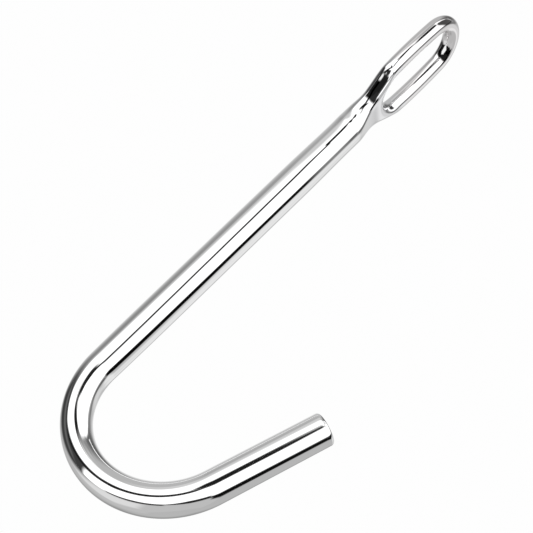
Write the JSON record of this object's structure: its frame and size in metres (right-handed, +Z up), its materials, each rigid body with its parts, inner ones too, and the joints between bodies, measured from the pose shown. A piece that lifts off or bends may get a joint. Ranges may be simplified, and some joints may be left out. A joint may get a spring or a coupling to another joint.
{
  "type": "hook",
  "caption": "Hanging hook: polished round steel bar bent into a wide J with a blunt tip, and a long oval wire eye on a flattened Y-shaped neck.",
  "frame": {"origin": "centre of the bounding box's bottom, level with the lowest point of the bend", "axes": "+Z up along the shank towards the eye, +X from the shank towards the arm, +Y normal to the plane of the bend and across the width of the eye"},
  "size_m": [0.0848, 0.0266, 0.2198],
  "materials": {
    "bar_steel": "mirror-polished steel",
    "neck_steel": "mirror-polished steel, worked flush by hand",
    "bow_steel": "mirror-polished steel wire"
  },
  "bodies": {
    "root": {"hook_bar": "bar_steel", "eye_neck": "neck_steel", "eye_bow": "bow_steel"}
  },
  "joints": []
}
